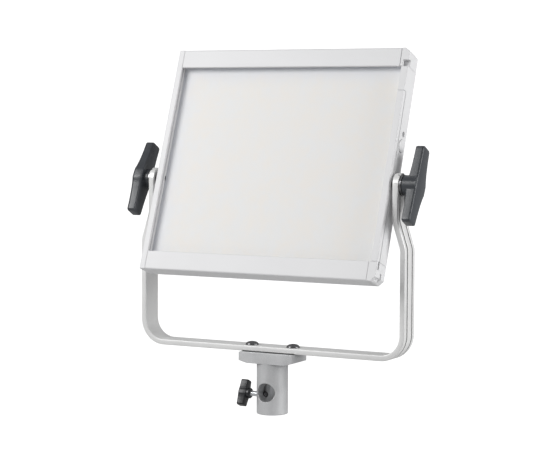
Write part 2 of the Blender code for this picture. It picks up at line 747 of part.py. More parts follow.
def heat_sink(front):
    """Base plate with upright fins over its upper part."""
    base_back = front + sink_base
    low_x, high_x = face_low.x + chamber_taper, face_high.x - chamber_taper
    low_z, high_z = face_low.z + chamber_taper, face_high.z - chamber_taper
    sink = add("heat_sink", block((low_x, front, low_z), (high_x, base_back, high_z)), anodised, head, smooth=0)
    fin_back = housing_back - housing_wall - fin_clearance
    span = vent_pitch * (vent_count + 1)
    pitch = span / (sink_fin_count - 1)
    fins = [block((-span / 2 + pitch * i - sink_fin_thickness / 2, base_back - 0.001, vent_low),
                  (-span / 2 + pitch * i + sink_fin_thickness / 2, fin_back, vent_high))
            for i in range(sink_fin_count)]
    cut(sink, merged(*fins), union=True)
    return sink


heat_sink(board_back + gap)

# ---------------------------------------------------------------- rear housing and its panel

def rear_housing():
    """Tapered cup behind the frame, open at the front."""
    front, back = frame_back + gap, housing_back
    bend = front + 0.010
    rim = (-half_head + housing_step, -head_below_axis + housing_step,
           half_head - housing_step, head_above_axis - housing_step)
    rear = (flat_low.x, flat_low.z, flat_high.x, flat_high.z)

    def section(y, box, inset):
        outline = rounded((box[0] + inset, box[1] + inset), (box[2] - inset, box[3] - inset),
                          housing_corner - inset * 0.5, 3)
        return [Vector((x, y, z)) for x, z in outline]

    soft = 0.003
    rings = [section(front, rim, 0), section(bend, rim, 0.0015), section(back - soft, rear, 0),
             section(back, rear, soft), section(back - housing_wall, rear, housing_wall + soft),
             section(back - housing_wall - soft, rear, housing_wall),
             section(bend, rim, housing_wall + 0.0015), section(front, rim, housing_wall)]
    shape = bmesh.new()
    loops = [[shape.verts.new(point) for point in points] for points in rings]
    count = len(loops[0])
    order = ((0, 1), (1, 2), (2, 3), (4, 5), (5, 6), (6, 7), (7, 0))
    for a, b in order:
        for i in range(count):
            j = (i + 1) % count
            shape.faces.new((loops[a][i], loops[a][j], loops[b][j], loops[b][i]))
    shape.faces.new(loops[3])
    shape.faces.new(loops[4])
    housing = add("rear_housing", shape, white_paint, head)
    deep, out = back - housing_wall - 0.001, back + 0.001
    vents = []
    for i in range(vent_count):
        middle = vent_pitch * (i - (vent_count - 1) / 2)
        slot = rounded((middle - vent_width / 2, vent_low), (middle + vent_width / 2, vent_high),
                       vent_width * 0.49, 2)
        vents.append(prism(slot, 'Y', deep, out))
    cut(housing, merged(*vents))
    window = rounded((-panel_width / 2 - gap, panel_middle - panel_height / 2 - gap),
                     (panel_width / 2 + gap, panel_middle + panel_height / 2 + gap), 0.005 + gap, 3)
    cut(housing, prism(window, 'Y', deep, out))
    places = [(x, z) for x in (rear[0] + rear_screw_inset, rear[2] - rear_screw_inset)
              for z in (rear[1] + rear_screw_inset, rear[3] - rear_screw_inset)]
    cut(housing, merged(*[rod('Y', at, rear_screw_shank + slip, deep, out, 16) for at in places]))
    for number, at in enumerate(places, 1):
        stations = ((back - 0.007, rear_screw_shank), (back + gap, rear_screw_shank),
                    (back + gap, rear_screw_head), (back + gap + 0.0012, rear_screw_head * 0.92),
                    (back + gap + 0.0020, rear_screw_head * 0.6))
        screw = add("rear_screw_%d" % number, turned('Y', at, stations, 20), black_steel, head)
        key = [(at[0] + 0.0013 * math.cos(math.tau * i / 6), at[1] + 0.0013 * math.sin(math.tau * i / 6))
               for i in range(6)]
        cut(screw, prism(key, 'Y', back + gap + 0.0007, back + 0.004))


def control_panel():
    """Dark panel with its openings, flush with the housing's back."""
    front, back = panel_front, housing_back
    outline = rounded((-panel_width / 2, panel_middle - panel_height / 2),
                      (panel_width / 2, panel_middle + panel_height / 2), 0.005, 3)
    panel = add("control_panel", prism(outline, 'Y', front, back), dark_plastic, head)
    deep, out = front - 0.001, back + 0.001
    openings = [prism(rounded((display_across - display_width / 2, high_row - display_height / 2),
                              (display_across + display_width / 2, high_row + display_height / 2), 0.002, 2),
                      'Y', deep, out)]
    openings += [rod('Y', (x, high_row), knob_shaft_radius + slip, deep, out, 16) for x in knob_across]
    openings += [rod('Y', (x, low_row), button_radius + slip, deep, out, 20) for x in button_across]
    openings += [rod('Y', (x, low_row), data_radius + slip, deep, out, 24) for x in (data_in_across, data_out_across)]
    openings.append(rod('Y', (inlet_across, low_row), inlet_radius + slip, deep, out, 24))
    openings.append(block((rocker_across - rocker_width / 2 - gap, deep, low_row - rocker_height / 2 - gap),
                          (rocker_across + rocker_width / 2 + gap, out, low_row + rocker_height / 2 + gap)))
    cut(panel, merged(*openings))


rear_housing()
control_panel()

glass = rounded((display_across - display_width / 2 + gap, high_row - display_height / 2 + gap),
                (display_across + display_width / 2 - gap, high_row + display_height / 2 - gap), 0.0018, 2)
add("display_window", prism(glass, 'Y', panel_front, housing_back - 0.0003), glass_black, head)

half_board = Vector((panel_width / 2 - 0.006, 0, panel_height / 2 - 0.004))
board_middle = Vector((0, board_face, panel_middle))
add("control_board", block(board_middle - half_board - Vector((0, board_thickness, 0)), board_middle + half_board),
    board_green, head, smooth=0)
supply_front = board_back + gap + sink_base + gap
supply_back = board_face - board_thickness - supply_clearance
add("power_supply", block((-supply_width / 2, supply_front, panel_middle - supply_height / 2),
                          (supply_width / 2, supply_back, panel_middle + supply_height / 2)),
    bright_steel, head, smooth=0)


def rotary_knob(name, x):
    """Fluted knob on its shaft; origin on the axis at the panel's face."""
    flutes = 12
    outline = []
    for i in range(flutes * 2):
        radius = knob_radius - (0.0006 if i % 2 else 0)
        turn = math.tau * i / (flutes * 2)
        outline.append((radius * math.cos(turn), radius * math.sin(turn)))
    shape = loft([[Vector((u * s, y, v * s)) for u, v in outline] for y, s in
                  ((0.0008, 0.97), (0.0014, 1.0), (knob_height - 0.0012, 0.94), (knob_height, 0.86))])
    knob = add(name, shape, black_plastic, head, (x, housing_back, high_row))
    cut(knob, rod('Y', (0, 0), knob_shaft_radius, board_face + gap - housing_back, 0.003, 20), union=True)
    mark = block((-0.0005, knob_height - 0.0005, knob_radius * 0.35), (0.0005, knob_height + 0.002, knob_radius * 1.2))
    return cut(knob, mark)


def push_button(name, x):
    """Round button, origin on its axis at the panel's face."""
    stations = ((-0.0055, button_radius), (button_proud - 0.0005, button_radius),
                (button_proud, button_radius - 0.0005))
    return add(name, turned('Y', (0, 0), stations, 20), black_plastic, head, (x, housing_back, low_row))


def round_connector(name, x, radius, pins):
    """Panel connector: flange outside, recessed face with contact holes."""
    flange = radius + connector_flange
    stations = ((-0.0070, radius), (gap, radius), (gap, flange), (0.0020, flange), (0.0026, flange - 0.0006))
    connector = add(name, turned('Y', (0, 0), stations, 24), black_steel, head, (x, housing_back, low_row))
    cut(connector, rod('Y', (0, 0), radius - 0.0022, -0.0040, 0.004, 24))
    pitch = radius * 0.42
    holes = [rod('Y', (pitch * math.cos(math.tau * i / pins + math.pi / 2),
                       pitch * math.sin(math.tau * i / pins + math.pi / 2)), 0.0009, -0.0060, -0.0030, 8)
             for i in range(pins)]
    return cut(connector, merged(*holes))


for name, x in zip(("dimmer_knob", "colour_knob", "menu_knob"), knob_across):
    rotary_knob(name, x)
for number, x in enumerate(button_across, 1):
    push_button("push_button_%d" % number, x)
round_connector("data_in_socket", data_in_across, data_radius, 5)
round_connector("data_out_socket", data_out_across, data_radius, 5)
round_connector("power_inlet", inlet_across, inlet_radius, 3)


def power_rocker():
    """Rocker switch cap, origin on its hinge axis."""
    half = rocker_height / 2 - 0.0006
    outline = [(-0.0040, -half * 0.8), (-0.0005, -half), (0.0016, -half * 0.98), (0.0007, 0),
               (0.0016, half * 0.98), (-0.0005, half), (-0.0040, half * 0.8)]
    return add("power_rocker", prism(outline, 'X', -rocker_width / 2 + 0.0002, rocker_width / 2 - 0.0002),
               black_plastic, head, (rocker_across, housing_back - 0.0005, low_row))


power_rocker()

# ---------------------------------------------------------------- tilt locks
for side, sign in (("left", -1), ("right", 1)):
    disc_in = half_head + gap
    disc_out = arm_inner - gap
    add("friction_disc_" + side, ring('X', (0, 0), friction_disc_radius, stud_radius + slip,
                                      sign * disc_in, sign * disc_out), dark_fibre, head)
    washer_in = arm_outer + gap
    washer_out = washer_in + outer_washer_thickness
    add("outer_washer_" + side, ring('X', (0, 0), outer_washer_radius, stud_radius + slip,
                                     sign * washer_in, sign * washer_out), black_steel, head)
    hub_face = sign * (washer_out + gap)
    rail_depth = left_rail_width if sign < 0 else right_rail_width
    stud_tip = sign * (half_head - rail_depth + 0.0012)
    stud_end = hub_face + sign * seat_depth(handle_reach, handle_wing_thickness)
    stud = turned('X', (0, 0), ((stud_tip, stud_radius - 0.0007), (stud_tip + sign * 0.0007, stud_radius),
                                (stud_end, stud_radius)), 24)
    add("tilt_stud_" + side, stud, bright_steel, head)
    lean = (handle_lean_left if sign < 0 else handle_lean_right) - head_tilt_back
    winged_handle("tilt_handle_" + side, dark_plastic, head, (hub_face, 0, 0), lean, sign,
                  (handle_length, handle_end_width, (0, handle_belly), handle_wing_thickness, handle_reach,
                   handle_hub_radius, handle_face_plate, stud_radius + slip))
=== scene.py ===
"""Looks of the LED panel light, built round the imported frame."""
import json
import math

import bmesh
import bpy
from mathutils import Matrix, Vector


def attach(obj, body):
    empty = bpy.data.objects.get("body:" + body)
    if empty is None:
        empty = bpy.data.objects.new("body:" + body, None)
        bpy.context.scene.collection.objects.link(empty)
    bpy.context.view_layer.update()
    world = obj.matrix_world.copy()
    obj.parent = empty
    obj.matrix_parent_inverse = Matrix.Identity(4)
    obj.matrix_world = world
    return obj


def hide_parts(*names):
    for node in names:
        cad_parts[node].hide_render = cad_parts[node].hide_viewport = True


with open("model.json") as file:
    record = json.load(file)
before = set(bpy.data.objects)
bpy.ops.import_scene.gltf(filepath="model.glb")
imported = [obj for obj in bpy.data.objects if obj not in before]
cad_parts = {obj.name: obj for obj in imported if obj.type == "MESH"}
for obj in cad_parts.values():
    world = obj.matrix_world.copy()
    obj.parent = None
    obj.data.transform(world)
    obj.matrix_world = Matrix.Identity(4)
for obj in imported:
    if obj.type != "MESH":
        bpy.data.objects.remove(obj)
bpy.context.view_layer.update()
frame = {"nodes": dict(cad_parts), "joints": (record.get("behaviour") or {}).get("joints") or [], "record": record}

# ---------------------------------------------------------------- places read from the frame
joints = {joint["name"]: joint for joint in frame["joints"]}
tilt_axis = Vector(joints["head_tilt"]["pos_m"])
head_up = Vector(joints["gate_swing"]["axis"])
head_lean = math.atan2(head_up.y, head_up.z)
head_place = Matrix.Translation(tilt_axis) @ Matrix.Rotation(-head_lean, 4, 'X')
world_place = Matrix.Identity(4)
clear = 0.0003  # gap kept between pieces that touch


def span(node, place=world_place):
    """Lowest and highest corner of a CAD node, measured along a place's own axes."""
    back = place.inverted()
    points = [back @ vertex.co for vertex in frame["nodes"][node].data.vertices]
    return Vector(map(min, *points)), Vector(map(max, *points))


# ---------------------------------------------------------------- camera
camera_spot = Vector((0.9659, -1.8086, 0.3552))
camera_turn = math.radians(28.041)
camera_drop = math.radians(3.765)
camera_roll = math.radians(0.2385)
camera = bpy.data.objects.new("camera", bpy.data.cameras.new("camera"))
bpy.context.scene.collection.objects.link(camera)
camera.data.sensor_fit = 'HORIZONTAL'
camera.data.sensor_width = 36
camera.data.lens = 115.94
camera.matrix_world = (Matrix.Translation(camera_spot) @ Matrix.Rotation(camera_turn, 4, 'Z')
                       @ Matrix.Rotation(math.pi / 2 - camera_drop, 4, 'X')
                       @ Matrix.Rotation(camera_roll, 4, 'Z'))
bpy.context.scene.camera = camera


# ---------------------------------------------------------------- node helpers
def node(tree, kind, sockets=None, **settings):
    """Add a shader node; sockets holds values or the sockets that feed them."""
    made = tree.nodes.new(kind)
    for key, value in settings.items():
        setattr(made, key, value)
    for key, value in (sockets or {}).items():
        if isinstance(value, bpy.types.NodeSocket):
            tree.links.new(value, made.inputs[key])
        else:
            made.inputs[key].default_value = value
    return made


def maths(tree, operation, first, second=0.0):
    """One Math node's value."""
    return node(tree, 'ShaderNodeMath', {0: first, 1: second}, operation=operation).outputs[0]


def remap(tree, value, low, high, to_low=0.0, to_high=1.0):
    """A value stretched from one range to another, clamped."""
    return node(tree, 'ShaderNodeMapRange', {"Value": value, "From Min": low, "From Max": high,
                                             "To Min": to_low, "To Max": to_high}).outputs[0]


def mix(tree, factor, first, second):
    """A colour changed from the first to the second by a factor."""
    return node(tree, 'ShaderNodeMix', {0: factor, 6: first, 7: second}, data_type='RGBA').outputs[2]


def new_group(name, inputs, outputs):
    """An empty effect group with its sockets."""
    group = bpy.data.node_groups.new(name, 'ShaderNodeTree')
    for label, kind, value in inputs:
        group.interface.new_socket(label, in_out='INPUT', socket_type=kind).default_value = value
    for label, kind in outputs:
        group.interface.new_socket(label, in_out='OUTPUT', socket_type=kind)
    return group, group.nodes.new('NodeGroupInput').outputs, group.nodes.new('NodeGroupOutput').inputs


number_kind, colour_kind, vector_kind = 'NodeSocketFloat', 'NodeSocketColor', 'NodeSocketVector'


def make_grain():
    """Fine surface grain: a height, and a mask of its highest flecks."""
    group, given, result = new_group("fine_grain", (("Scale", number_kind, 900.0),),
                                     (("Height", number_kind), ("Fleck", number_kind)))
    spot = node(group, 'ShaderNodeTexCoord').outputs["Object"]
    fine = node(group, 'ShaderNodeTexNoise', {"Vector": spot, "Scale": given["Scale"], "Detail": 3.0,
                                              "Roughness": 0.6}).outputs[0]
    broad_scale = maths(group, 'MULTIPLY', given["Scale"], 0.17)
    broad = node(group, 'ShaderNodeTexNoise', {"Vector": spot, "Scale": broad_scale, "Detail": 2.0}).outputs[0]
    height = maths(group, 'ADD', maths(group, 'MULTIPLY', fine, 0.65), maths(group, 'MULTIPLY', broad, 0.35))
    group.links.new(height, result["Height"])
    group.links.new(remap(group, fine, 0.56, 0.70), result["Fleck"])
    return group


def make_clouding():
    """Slow change of colour and of gloss over a surface."""
    group, given, result = new_group(
        "clouding",
        (("Colour", colour_kind, (1, 1, 1, 1)), ("Spread", number_kind, 0.03), ("Scale", number_kind, 20.0)),
        (("Colour", colour_kind), ("Gloss", number_kind)))
    spot = node(group, 'ShaderNodeTexCoord').outputs["Object"]
    patch = node(group, 'ShaderNodeTexNoise', {"Vector": spot, "Scale": given["Scale"], "Detail": 5.0,
                                               "Roughness": 0.55}).outputs[0]
    centred = maths(group, 'SUBTRACT', remap(group, patch, 0.25, 0.75), 0.5)
    swing = maths(group, 'MULTIPLY', given["Spread"], 2.0)
    factor = maths(group, 'ADD', maths(group, 'MULTIPLY', centred, swing), 1.0)
    scaled = node(group, 'ShaderNodeVectorMath', {0: given["Colour"], "Scale": factor}, operation='SCALE')
    group.links.new(scaled.outputs[0], result["Colour"])
    group.links.new(centred, result["Gloss"])
    return group


def make_edge_wear():
    """Mask of worn edges, broken up by noise, and the softened edge normal."""
    group, given, result = new_group(
        "edge_wear", (("Radius", number_kind, 0.0006), ("Break Up", number_kind, 90.0)),
        (("Edge", number_kind), ("Normal", vector_kind)))
    soft = node(group, 'ShaderNodeBevel', {"Radius": given["Radius"]}, samples=4).outputs[0]
    flat = node(group, 'ShaderNodeNewGeometry').outputs["Normal"]
    facing = node(group, 'ShaderNodeVectorMath', {0: soft, 1: flat}, operation='DOT_PRODUCT').outputs["Value"]
    spot = node(group, 'ShaderNodeTexCoord').outputs["Object"]
    patch = node(group, 'ShaderNodeTexNoise', {"Vector": spot, "Scale": given["Break Up"],
                                               "Detail": 4.0}).outputs[0]
    worn = maths(group, 'MULTIPLY', remap(group, facing, 0.995, 0.90), remap(group, patch, 0.38, 0.62))
    group.links.new(worn, result["Edge"])
    group.links.new(soft, result["Normal"])
    return group


def make_drawn_lines():
    """Fine lines left by drawing or turning; Stretch is how dense they are along each axis."""
    group, given, result = new_group("drawn_lines", (("Stretch", vector_kind, (4.0, 1400.0, 4.0)),),
                                     (("Height", number_kind),))
    spot = node(group, 'ShaderNodeTexCoord').outputs["Object"]
    drawn = node(group, 'ShaderNodeVectorMath', {0: spot, 1: given["Stretch"]}, operation='MULTIPLY').outputs[0]
    line = node(group, 'ShaderNodeTexNoise', {"Vector": drawn, "Scale": 1.0, "Detail": 3.0}).outputs[0]
    group.links.new(remap(group, line, 0.3, 0.7), result["Height"])
    return group


def make_painted_hollow_shade():
    """Mask of deep grooves and hollows, where light hardly reaches, for shade painted into the base colour there.
    """
    group, given, result = new_group("painted_hollow_shade", (("Reach", number_kind, 0.003),), (("Mask", number_kind),))
    open_share = node(group, 'ShaderNodeAmbientOcclusion', {"Distance": given["Reach"]}, samples=8).outputs["AO"]
    group.links.new(remap(group, open_share, 0.75, 0.35), result["Mask"])
    return group


fine_grain = make_grain()
painted_hollow_shade = make_painted_hollow_shade()
clouding = make_clouding()
edge_wear = make_edge_wear()
drawn_lines = make_drawn_lines()


def use(tree, group, sockets):
    """Place an effect group and return its outputs."""
    return node(tree, 'ShaderNodeGroup', sockets, node_tree=group).outputs


# Painted shade: grooves and hollows are darkened in the base colour towards this near-black, by this share.
painted_shade_share, painted_shade_colour = 0.92, (0.015, 0.015, 0.016, 1)


def surface(name, colour, rough, metallic=0.0, spread=0.03, patch=18.0, grain=900.0, depth=0.00003, gloss=0.10,
            fleck=0.0, worn=None, wear=0.5, edge=0.0005, lines=None, line_depth=0.00001, coat=0.0, hollow=0.0):
    """A finished surface: clouded colour, grain, worn edges and, if asked, drawn lines and painted shade in
    hollows.
    """
    material = bpy.data.materials.new(name)
    material.use_nodes = True
    tree = material.node_tree
    shader = tree.nodes["Principled BSDF"]
    shader.inputs["Metallic"].default_value = metallic
    shader.inputs["Coat Weight"].default_value = coat
    shader.inputs["Coat Roughness"].default_value = 0.08
    cloud = use(tree, clouding, {"Colour": (*colour, 1), "Spread": spread, "Scale": patch})
    wearing = use(tree, edge_wear, {"Radius": edge})
    grains = use(tree, fine_grain, {"Scale": grain})
    base = cloud["Colour"]
    if fleck:
        speck = tuple(min(1.0, c * (1 + fleck)) for c in colour)
        base = mix(tree, grains["Fleck"], base, (*speck, 1))
    worn = worn or tuple(min(1.0, c * 1.25 + 0.02) for c in colour)
    amount = maths(tree, 'MULTIPLY', wearing["Edge"], wear)
    base = mix(tree, amount, base, (*worn, 1))
    # Painted shade: the base colour darkens in grooves and hollows.
    if hollow:
        deep = maths(tree, 'MULTIPLY', use(tree, painted_hollow_shade, {"Reach": hollow})["Mask"], painted_shade_share)
        base = mix(tree, deep, base, painted_shade_colour)
    tree.links.new(base, shader.inputs["Base Color"])
    shine = maths(tree, 'ADD', maths(tree, 'MULTIPLY', cloud["Gloss"], gloss), rough)
    uneven = maths(tree, 'SUBTRACT', grains["Height"], 0.5)
    shine = maths(tree, 'ADD', shine, maths(tree, 'MULTIPLY', uneven, gloss))
    tree.links.new(shine, shader.inputs["Roughness"])
    bump = node(tree, 'ShaderNodeBump', {"Height": grains["Height"], "Distance": depth,
                                         "Normal": wearing["Normal"]})
    if lines:
        drawn = use(tree, drawn_lines, {"Stretch": lines})
        bump = node(tree, 'ShaderNodeBump', {"Height": drawn["Height"], "Distance": line_depth,
                                             "Normal": bump.outputs[0]})
    tree.links.new(bump.outputs[0], shader.inputs["Normal"])
    return material


def opal_sheet(name):
    """Opal acrylic: faint warm and cool mottling, with painted bluish shade towards its left and top edges."""
    material = bpy.data.materials.new(name)
    material.use_nodes = True
    tree = material.node_tree
    shader = tree.nodes["Principled BSDF"]
    shader.inputs["Specular IOR Level"].default_value = 0.35
    # rim is the colour of the painted shade along the left and top edges.
    warm, cool, rim = (0.91, 0.885, 0.85), (0.89, 0.89, 0.885), (0.80, 0.82, 0.87)
    spot = node(tree, 'ShaderNodeTexCoord').outputs["Object"]
    low, high = span("diffuser_panel", head_place)
    flat = node(tree, 'ShaderNodeMapping', {"Vector": spot, "Location": tuple(-tilt_axis)}).outputs[0]
    flat = node(tree, 'ShaderNodeMapping', {"Vector": flat, "Rotation": (head_lean, 0, 0)}).outputs[0]
    parts = node(tree, 'ShaderNodeSeparateXYZ', {0: flat}).outputs
    blotch = node(tree, 'ShaderNodeTexNoise', {"Vector": flat, "Scale": 34.0, "Detail": 3.0}).outputs[0]
    cells = node(tree, 'ShaderNodeTexNoise', {"Vector": flat, "Scale": 150.0, "Detail": 1.0}).outputs[0]
    blend = maths(tree, 'ADD', maths(tree, 'MULTIPLY', blotch, 0.7), maths(tree, 'MULTIPLY', cells, 0.3))
    base = mix(tree, remap(tree, blend, 0.38, 0.62), (*cool, 1), (*warm, 1))
    # Painted shade: the sheet turns bluish grey towards its left and top edges.
    shade_width = 0.030
    left_shade = remap(tree, parts["X"], low.x, low.x + shade_width, 1.0, 0.0)
    top_shade = remap(tree, parts["Z"], high.z - shade_width, high.z)
    edge = maths(tree, 'POWER', maths(tree, 'MAXIMUM', left_shade, top_shade), 2.0)
    base = mix(tree, edge, base, (*rim, 1))
    tree.links.new(base, shader.inputs["Base Color"])
    grains = use(tree, fine_grain, {"Scale": 1500.0})
    tree.links.new(remap(tree, grains["Height"], 0.3, 0.7, 0.42, 0.56), shader.inputs["Roughness"])
    bump = node(tree, 'ShaderNodeBump', {"Height": grains["Height"], "Distance": 0.00002})
    tree.links.new(bump.outputs[0], shader.inputs["Normal"])
    return material


along_strap = (5.0, 1500.0, 5.0)
look = {
    # hollow is how far the painted shade in grooves and hollows reaches.
    "anodised": surface("anodised", (0.86, 0.86, 0.855), 0.46, 0.30, spread=0.03, depth=0.00002,
                        lines=along_strap, line_depth=0.00003, wear=0.5, hollow=0.004),
    "cast": surface("cast", (0.67, 0.675, 0.685), 0.44, 0.55, spread=0.05, patch=45.0, grain=1500.0, depth=0.00011,
                    gloss=0.25, fleck=0.22, wear=0.5, edge=0.0008, hollow=0.013),
    "white_paint": surface("white_paint", (0.80, 0.80, 0.81), 0.40, spread=0.012, grain=1400.0, depth=0.00003,
                           worn=(0.84, 0.84, 0.85), wear=0.5, edge=0.0006),
    "white_housing": surface("white_housing", (0.80, 0.80, 0.81), 0.52, spread=0.015, grain=1000.0,
                             depth=0.00006, worn=(0.84, 0.84, 0.85), wear=0.5),
    "white_reflector": surface("white_reflector", (0.86, 0.86, 0.85), 0.75, spread=0.02),
    "opal_diffuser": opal_sheet("opal_diffuser"),
    "board_laminate": surface("board_laminate", (0.72, 0.74, 0.72), 0.55, spread=0.04),
    "bare_aluminium": surface("bare_aluminium", (0.62, 0.63, 0.64), 0.38, 0.9, spread=0.05,
                              lines=(900.0, 900.0, 5.0), line_depth=0.00003),
    "steel_can": surface("steel_can", (0.60, 0.61, 0.62), 0.32, 0.9, spread=0.06),
    "bright_steel": surface("bright_steel", (0.74, 0.76, 0.78), 0.20, 1.0, spread=0.05, depth=0.00001),
    "dark_screw": surface("dark_screw", (0.19, 0.19, 0.195), 0.24, 0.9, spread=0.15, patch=200.0, depth=0.00002,
                          worn=(0.45, 0.45, 0.46), wear=0.6, edge=0.0004),
    "handle_grey": surface("handle_grey", (0.050, 0.055, 0.063), 0.32, spread=0.10, patch=60.0, grain=1300.0,
                           depth=0.00007, gloss=0.16, worn=(0.13, 0.14, 0.15), wear=0.5, edge=0.0007),
    "gloss_black": surface("gloss_black", (0.010, 0.011, 0.013), 0.34, spread=0.08, patch=60.0, depth=0.00001,
                           gloss=0.04, worn=(0.04, 0.04, 0.045), wear=0.3, edge=0.0003, coat=0.1),
    "black_knob": surface("black_knob", (0.018, 0.019, 0.021), 0.42, spread=0.10, grain=1800.0, depth=0.00004,
                          worn=(0.09, 0.09, 0.09), wear=0.4, edge=0.0003),
    "black_connector": surface("black_connector", (0.045, 0.045, 0.05), 0.38, 0.8, spread=0.12, depth=0.00003,
                               worn=(0.35, 0.35, 0.35), wear=0.5, edge=0.0003),
    "dark_panel": surface("dark_panel", (0.050, 0.054, 0.060), 0.50, spread=0.05, grain=1600.0, depth=0.00005),
    "display_glass": surface("display_glass", (0.012, 0.014, 0.018), 0.07, spread=0.25, patch=60.0, depth=0.000002,
                             gloss=0.03, wear=0.2, coat=1.0),
    "friction_fibre": surface("friction_fibre", (0.030, 0.030, 0.032), 0.85, spread=0.2, grain=700.0,
                              depth=0.0001, fleck=0.8),
}

for row in frame["record"]["subparts"]:
    kept = frame["nodes"][row["node"]].data
    kept.materials.clear()
    kept.materials.append(look[row["material_slot"]])


# ---------------------------------------------------------------- shape tools
def place_point(axis, u, v, along):
    """A point from two cross coordinates and one along an axis."""
    if axis == 'X':
        return Vector((along, u, v))
    if axis == 'Y':
        return Vector((u, along, v))
    return Vector((u, v, along))


def loft(rings, closed=False):
    """Skin through rings with the same number of points; closed joins last to first."""
    shape = bmesh.new()
    loops = [[shape.verts.new(point) for point in ring] for ring in rings]
    count = len(loops[0])
    pairs = list(zip(loops, loops[1:])) + ([(loops[-1], loops[0])] if closed else [])
    for first, second in pairs:
        for i in range(count):
            j = (i + 1) % count
            shape.faces.new((first[i], first[j], second[j], second[i]))
    if not closed:
        shape.faces.new(loops[0][::-1])
        shape.faces.new(loops[-1])
    bmesh.ops.recalc_face_normals(shape, faces=shape.faces)
    return shape


def prism(outline, axis, start, end):
    """An outline in the two cross axes, extruded along the third."""
    return loft([[place_point(axis, u, v, along) for u, v in outline] for along in (start, end)])


def soft_end(end, radius, soft, angles=(0, 30, 60, 90)):
    """Stations round the soft edge at a turned solid's end."""
    return [(end - soft * (1 - math.sin(math.radians(a))), radius - soft * (1 - math.cos(math.radians(a))))
            for a in angles]


def block(low, high):
    """A box between two corners."""
    outline = ((low[0], low[1]), (high[0], low[1]), (high[0], high[1]), (low[0], high[1]))
    return prism(outline, 'Z', low[2], high[2])


def arc(centre, radius, start, end, steps):
    """Points on an arc, angles in degrees."""
    turns = [math.radians(start + (end - start) * i / steps) for i in range(steps + 1)]
    return [(centre[0] + radius * math.cos(turn), centre[1] + radius * math.sin(turn)) for turn in turns]


def rounded(low, high, radius, steps=6):
    """A rectangle outline with round corners."""
    (u0, v0), (u1, v1) = low, high
    corners = (((u1 - radius, v1 - radius), 0), ((u0 + radius, v1 - radius), 90),
               ((u0 + radius, v0 + radius), 180), ((u1 - radius, v0 + radius), 270))
    return [point for centre, start in corners for point in arc(centre, radius, start, start + 90, steps)]


def circle(centre, radius, sides):
    """Points round a circle."""
    return arc(centre, radius, 0, 360 * (sides - 1) / sides, sides - 1)


def turned(axis, centre, stations, sides=64, closed=False):
    """A turned solid; stations are (distance along the axis, radius)."""
    return loft([[place_point(axis, u, v, along) for u, v in circle(centre, radius, sides)]
                 for along, radius in stations], closed)


def rod(axis, centre, radius, start, end, sides=48):
    """A plain cylinder, for cutting and joining."""
    return turned(axis, centre, ((start, radius), (end, radius)), sides)


def washer(axis, centre, outer, inner, start, end, edge):
    """A flat ring with broken edges."""
    way = 1 if end > start else -1
    step = way * edge
    return turned(axis, centre, ((start, inner + edge), (start, outer - edge), (start + step, outer),
                                 (end - step, outer), (end, outer - edge), (end, inner + edge),
                                 (end - step, inner), (start + step, inner)), 72, closed=True)


def as_object(shape):
    """A passing object for a Boolean."""
    mesh = bpy.data.meshes.new("passing")
    shape.to_mesh(mesh)
    shape.free()
    made = bpy.data.objects.new("passing", mesh)
    bpy.context.scene.collection.objects.link(made)
    return made


def carved(shape, cuts=(), joins=()):
    """A shape with others joined on, then others cut away."""
    body = as_object(shape)
    tools = [(as_object(other), 'UNION') for other in joins]
    tools += [(as_object(other), 'DIFFERENCE') for other in cuts]
    for tool, operation in tools:
        step = body.modifiers.new(operation, 'BOOLEAN')
        step.operation = operation
        step.object = tool
        step.solver = 'EXACT'
    bpy.context.view_layer.update()
    result = bmesh.new()
    result.from_object(body, bpy.context.evaluated_depsgraph_get())
    for passing in [body] + [tool for tool, _ in tools]:
        mesh = passing.data
        bpy.data.objects.remove(passing, do_unlink=True)
        bpy.data.meshes.remove(mesh)
    return result


def piece(name, shape, finish, body, nodes, place=world_place, edge=0.0, segments=3, angle=30, crease=35):
    """Make a shape into a named piece that rides on a body and stands for its CAD nodes."""
    bmesh.ops.remove_doubles(shape, verts=shape.verts, dist=0.000002)
    mesh = bpy.data.meshes.new(name)
    shape.to_mesh(mesh)
    shape.free()
    mesh.transform(place)
    mesh.materials.append(look[finish])
    mesh.shade_smooth()
    mesh.set_sharp_from_angle(angle=math.radians(crease))
    made = bpy.data.objects.new(name, mesh)
    bpy.context.scene.collection.objects.link(made)
    if edge:
        bevel = made.modifiers.new("edges", 'BEVEL')
        bevel.width = edge
        bevel.segments = segments
        bevel.limit_method = 'ANGLE'
        bevel.angle_limit = math.radians(angle)
        bevel.harden_normals = True
        bevel.miter_outer = 'MITER_ARC'
    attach(made, body)
    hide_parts(*nodes)
    return made


def blended(table, at):
    """Value at a place in a table of (place, value), in a straight line between the rows."""
    for (start, first), (end, second) in zip(table, table[1:]):
        if at <= end:
            return first + (second - first) * (at - start) / (end - start)
    return table[-1][1]


# ---------------------------------------------------------------- yoke
strap_low, strap_high = span("yoke_strap")
strap_width = strap_high.y - strap_low.y
strap_thickness = 0.0065
half_yoke = strap_high.x
bar_low = strap_low.z
bar_high = bar_low + strap_thickness
yoke_jog = 0.0100
arm_outer = half_yoke - yoke_jog


